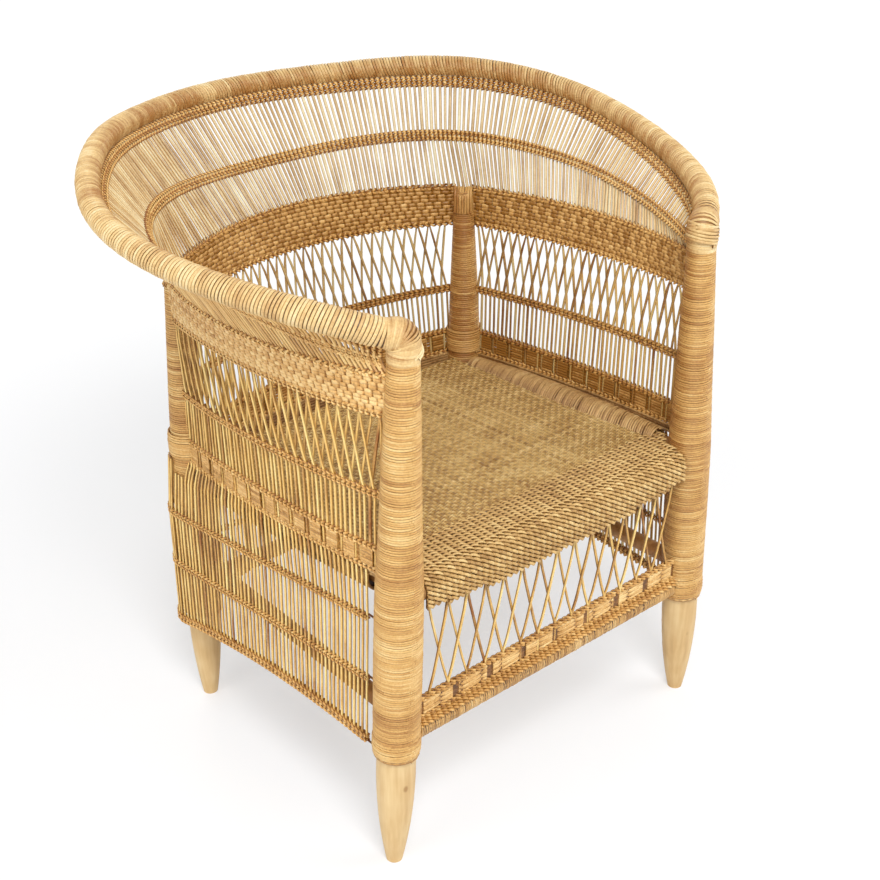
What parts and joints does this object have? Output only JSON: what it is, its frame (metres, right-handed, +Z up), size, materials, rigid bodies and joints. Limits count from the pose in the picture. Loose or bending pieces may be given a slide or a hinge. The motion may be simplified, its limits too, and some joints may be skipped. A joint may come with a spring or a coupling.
{
  "type": "woven cane armchair",
  "caption": "Round-backed woven cane armchair: pole frame bound in cane, openwork stake walls flaring to a bent hoop that forms arms and back rail.",
  "frame": {"origin": "on the floor, at the middle of the chair's bounding box", "axes": "+Z up, the sitter faces -Y, +X to the right seen from the front; the chair is mirror-symmetric in X"},
  "size_m": [0.7842, 0.7171, 0.7943],
  "materials": {
    "peeled_pole": "matte",
    "frame_pole": "matte",
    "hoop_cane": "satin",
    "bound_cane": "satin",
    "round_cane": "satin",
    "plaited_cane": "satin",
    "seat_weave": "matte",
    "front_weave": "matte",
    "rail_cane": "satin",
    "twined_cane": "satin"
  },
  "bodies": {
    "root": {"apron_band": "twined_cane", "apron_lashings": "bound_cane", "apron_rail": "frame_pole", "apron_rail_binding": "bound_cane", "apron_stakes": "round_cane", "arm_caps": "hoop_cane", "arm_lashings": "bound_cane", "back_flare_stakes": "round_cane", "back_hem": "twined_cane", "back_mid_row": "twined_cane", "back_plaited_band": "plaited_cane", "back_rim_row": "twined_cane", "back_skirt_rows": "twined_cane", "back_stakes": "round_cane", "back_stretcher": "frame_pole", "back_thin_band": "twined_cane", "back_window_band": "twined_cane", "front_left_binding": "bound_cane", "front_left_post": "peeled_pole", "front_right_binding": "bound_cane", "front_right_post": "peeled_pole", "hoop_binding": "hoop_cane", "hoop_pole": "frame_pole", "left_flare_stakes": "round_cane", "left_hem": "twined_cane", "left_mid_row": "twined_cane", "left_plaited_band": "plaited_cane", "left_rim_row": "twined_cane", "left_skirt_rows": "twined_cane", "left_stakes": "round_cane", "left_stretcher": "frame_pole", "left_thin_band": "twined_cane", "left_window_band": "twined_cane", "rear_lashings": "bound_cane", "rear_left_binding": "bound_cane", "rear_left_post": "peeled_pole", "rear_right_binding": "bound_cane", "rear_right_post": "peeled_pole", "right_flare_stakes": "round_cane", "right_hem": "twined_cane", "right_mid_row": "twined_cane", "right_plaited_band": "plaited_cane", "right_rim_row": "twined_cane", "right_skirt_rows": "twined_cane", "right_stakes": "round_cane", "right_stretcher": "frame_pole", "right_thin_band": "twined_cane", "right_window_band": "twined_cane", "seat_back_rail": "frame_pole", "seat_back_roll": "rail_cane", "seat_bearers": "frame_pole", "seat_front_rail": "frame_pole", "seat_front_roll": "front_weave", "seat_left_rail": "frame_pole", "seat_left_roll": "rail_cane", "seat_mat": "seat_weave", "seat_right_rail": "frame_pole", "seat_right_roll": "rail_cane", "skirt_ties": "bound_cane"}
  },
  "joints": []
}
